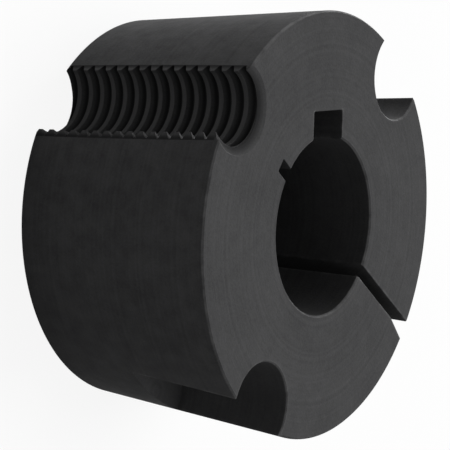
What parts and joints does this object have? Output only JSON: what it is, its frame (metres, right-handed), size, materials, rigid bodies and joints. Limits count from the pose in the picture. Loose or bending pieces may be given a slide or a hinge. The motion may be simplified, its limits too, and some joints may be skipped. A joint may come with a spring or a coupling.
{
  "type": "taper bush",
  "caption": "Split cone-shaped bush with a keyed bore and half holes round its side for the screws, to lock a pulley or sprocket on a shaft.",
  "frame": {"origin": "where the bore's axis meets the plane of the small end, on which the bush stands", "axes": "+Z along the bore towards the large end, +Y through the middle of the keyway"},
  "size_m": [0.0476, 0.0476, 0.0254],
  "materials": {
    "phosphated_iron": "machined all over and phosphated near black, thinly oiled, with a low sheen"
  },
  "bodies": {
    "root": {"taper_bush": "phosphated_iron"}
  },
  "joints": []
}
